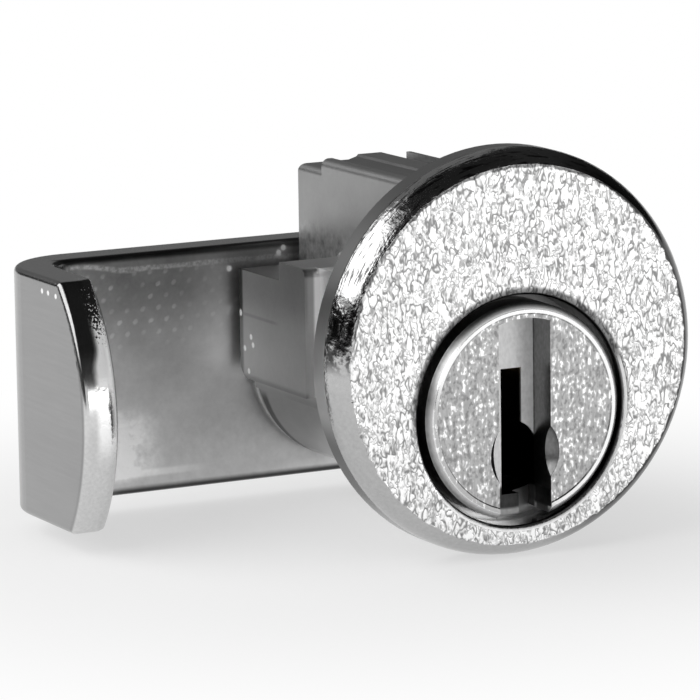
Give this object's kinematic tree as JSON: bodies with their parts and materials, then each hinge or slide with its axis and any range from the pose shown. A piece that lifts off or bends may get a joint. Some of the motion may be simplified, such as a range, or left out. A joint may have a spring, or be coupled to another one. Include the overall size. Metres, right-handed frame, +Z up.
{
  "type": "mailbox lock",
  "caption": "Pin-tumbler mailbox lock with a round eccentric face, a pin tower over the key plug, clip slots behind the face and a hooked bolt that swings with the plug.",
  "frame": {"origin": "where the plug's axis crosses the back of the face, on the door plane", "axes": "+Z up from the plug to the pins, -Y out of the door towards the person with the key, +X to that person's right"},
  "size_m": [0.032, 0.0259, 0.0222],
  "materials": {
    "body_plate": "bright plated die casting, grained front face, smooth bevelled rim",
    "cover_plate": "plated strip, satin",
    "plug_plate": "bright plated, finely brushed front",
    "bolt_plate": "bright plated steel, slightly pitted arm",
    "pin_brass": "turned",
    "pin_steel": "plain",
    "spring_wire": "drawn wire",
    "washer_steel": "zinc plated",
    "screw_steel": "zinc plated"
  },
  "bodies": {
    "housing": {"housing": "body_plate", "chamber_cover": "cover_plate", "stop_pin": "pin_steel", "spring_1": "spring_wire", "spring_2": "spring_wire", "spring_3": "spring_wire", "spring_4": "spring_wire", "spring_5": "spring_wire"},
    "plug": {"plug": "plug_plate", "thrust_washer": "washer_steel", "hook_bolt": "bolt_plate", "lock_washer": "washer_steel", "bolt_screw": "screw_steel"},
    "key_pin_1": {"key_pin_1": "pin_brass"},
    "key_pin_2": {"key_pin_2": "pin_brass"},
    "key_pin_3": {"key_pin_3": "pin_brass"},
    "key_pin_4": {"key_pin_4": "pin_brass"},
    "key_pin_5": {"key_pin_5": "pin_brass"},
    "driver_pin_1": {"driver_pin_1": "pin_brass"},
    "driver_pin_2": {"driver_pin_2": "pin_brass"},
    "driver_pin_3": {"driver_pin_3": "pin_brass"},
    "driver_pin_4": {"driver_pin_4": "pin_brass"},
    "driver_pin_5": {"driver_pin_5": "pin_brass"}
  },
  "joints": [
    {"name": "plug_turn", "type": "hinge", "parent": "housing", "child": "plug", "pos_m": [0, 0, 0], "axis": [0, 1, 0], "range_deg": [0, 90]},
    {"name": "key_pin_1_drop", "type": "slide", "parent": "plug", "child": "key_pin_1", "axis": [0, 0, 1], "range_m": [-0.002, 0]},
    {"name": "driver_pin_1_drop", "type": "slide", "parent": "housing", "child": "driver_pin_1", "axis": [0, 0, 1], "range_m": [-0.002, 0], "stiffness_N_per_m": 100, "springref_m": -0.003, "deforming": ["spring_1"]},
    {"name": "key_pin_2_drop", "type": "slide", "parent": "plug", "child": "key_pin_2", "axis": [0, 0, 1], "range_m": [-0.001, 0]},
    {"name": "driver_pin_2_drop", "type": "slide", "parent": "housing", "child": "driver_pin_2", "axis": [0, 0, 1], "range_m": [-0.001, 0], "stiffness_N_per_m": 100, "springref_m": -0.003, "deforming": ["spring_2"]},
    {"name": "key_pin_3_drop", "type": "slide", "parent": "plug", "child": "key_pin_3", "axis": [0, 0, 1], "range_m": [-0.0016, 0]},
    {"name": "driver_pin_3_drop", "type": "slide", "parent": "housing", "child": "driver_pin_3", "axis": [0, 0, 1], "range_m": [-0.0016, 0], "stiffness_N_per_m": 100, "springref_m": -0.003, "deforming": ["spring_3"]},
    {"name": "key_pin_4_drop", "type": "slide", "parent": "plug", "child": "key_pin_4", "axis": [0, 0, 1], "range_m": [-0.0023, 0]},
    {"name": "driver_pin_4_drop", "type": "slide", "parent": "housing", "child": "driver_pin_4", "axis": [0, 0, 1], "range_m": [-0.0023, 0], "stiffness_N_per_m": 100, "springref_m": -0.003, "deforming": ["spring_4"]},
    {"name": "key_pin_5_drop", "type": "slide", "parent": "plug", "child": "key_pin_5", "axis": [0, 0, 1], "range_m": [-0.0013, 0]},
    {"name": "driver_pin_5_drop", "type": "slide", "parent": "housing", "child": "driver_pin_5", "axis": [0, 0, 1], "range_m": [-0.0013, 0], "stiffness_N_per_m": 100, "springref_m": -0.003, "deforming": ["spring_5"]}
  ],
  "couplings": [
    {"joint": "driver_pin_1_drop", "follows": "key_pin_1_drop", "ratio": 1},
    {"joint": "driver_pin_2_drop", "follows": "key_pin_2_drop", "ratio": 1},
    {"joint": "driver_pin_3_drop", "follows": "key_pin_3_drop", "ratio": 1},
    {"joint": "driver_pin_4_drop", "follows": "key_pin_4_drop", "ratio": 1},
    {"joint": "driver_pin_5_drop", "follows": "key_pin_5_drop", "ratio": 1}
  ]
}
